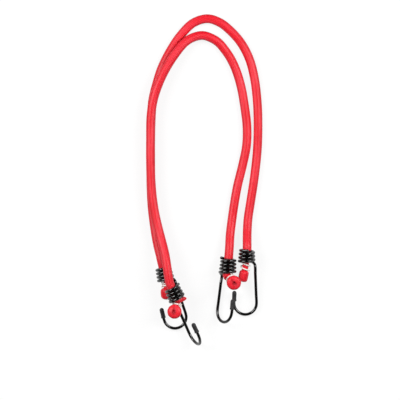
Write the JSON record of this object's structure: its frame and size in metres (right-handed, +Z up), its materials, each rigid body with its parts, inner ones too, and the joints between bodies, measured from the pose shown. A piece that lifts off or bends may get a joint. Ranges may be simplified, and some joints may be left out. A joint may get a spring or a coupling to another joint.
{
  "type": "elastic tie-down cords",
  "caption": "Red elastic tie-down cords with black coiled-wire hooks, laid as nested arches; a leg of each stretches, the hooks swivel and the upper cord lifts off.",
  "frame": {"origin": "on the floor, in the middle of the laid pair's footprint", "axes": "+Y from the hooks towards the crown of the arches, +Z up from the floor, +X to the right with the hooks nearest"},
  "size_m": [0.1058, 0.3008, 0.0311],
  "materials": {
    "sheath": "braided polyester, satin",
    "core": "bare latex strands",
    "hook_wire": "gloss black coating on steel wire",
    "tip_cap": "matt dark grey dip coating",
    "crimp_ring": "bright drawn wire"
  },
  "bodies": {
    "lower_cord": {"lower_arch_sheath": "sheath", "lower_arch_core": "core", "lower_leg_sheath": "sheath", "lower_leg_core": "core", "lower_left_end_sheath": "sheath", "lower_left_end_core": "core", "lower_left_crimp_ring": "crimp_ring"},
    "lower_left_hook": {"lower_left_hook": "hook_wire", "lower_left_tip_cap": "tip_cap"},
    "lower_right_end": {"lower_right_end_sheath": "sheath", "lower_right_end_core": "core", "lower_right_crimp_ring": "crimp_ring"},
    "lower_right_hook": {"lower_right_hook": "hook_wire", "lower_right_tip_cap": "tip_cap"},
    "upper_cord": {"upper_arch_sheath": "sheath", "upper_arch_core": "core", "upper_leg_sheath": "sheath", "upper_leg_core": "core", "upper_right_end_sheath": "sheath", "upper_right_end_core": "core", "upper_right_crimp_ring": "crimp_ring"},
    "upper_right_hook": {"upper_right_hook": "hook_wire", "upper_right_tip_cap": "tip_cap"},
    "upper_left_end": {"upper_left_end_sheath": "sheath", "upper_left_end_core": "core", "upper_left_crimp_ring": "crimp_ring"},
    "upper_left_hook": {"upper_left_hook": "hook_wire", "upper_left_tip_cap": "tip_cap"}
  },
  "joints": [
    {"name": "lower_stretch", "type": "slide", "parent": "lower_cord", "child": "lower_right_end", "axis": [-0.0313, -0.9995, 0], "range_m": [0, 0.075], "stiffness_N_per_m": 300, "deforming": ["lower_leg_sheath", "lower_leg_core"]},
    {"name": "lower_right_swivel", "type": "hinge", "parent": "lower_right_end", "child": "lower_right_hook", "pos_m": [0.03865, -0.0683, 0.01032], "axis": [-0.031, -0.9898, -0.1393], "range_deg": [-20, 15]},
    {"name": "lower_left_swivel", "type": "hinge", "parent": "lower_cord", "child": "lower_left_hook", "pos_m": [-0.03675, -0.0821, 0.01032], "axis": [0.2313, -0.9627, -0.1405], "range_deg": [-20, 0]},
    {"name": "upper_lift", "type": "slide", "parent": "lower_cord", "child": "upper_cord", "axis": [0, 0, 1], "range_m": [0, 0.06]},
    {"name": "upper_stretch", "type": "slide", "parent": "upper_cord", "child": "upper_left_end", "axis": [0.4247, -0.9053, 0], "range_m": [0, 0.075], "stiffness_N_per_m": 300, "deforming": ["upper_leg_sheath", "upper_leg_core"]},
    {"name": "upper_left_swivel", "type": "hinge", "parent": "upper_left_end", "child": "upper_left_hook", "pos_m": [-0.02795, -0.1002, 0.0212], "axis": [0.4192, -0.8936, -0.1602], "range_deg": [-10, 70]},
    {"name": "upper_right_swivel", "type": "hinge", "parent": "upper_cord", "child": "upper_right_hook", "pos_m": [0.0218, -0.0747, 0.01024], "axis": [-0.0748, -0.9972, -0.0003], "range_deg": [0, 60]}
  ]
}
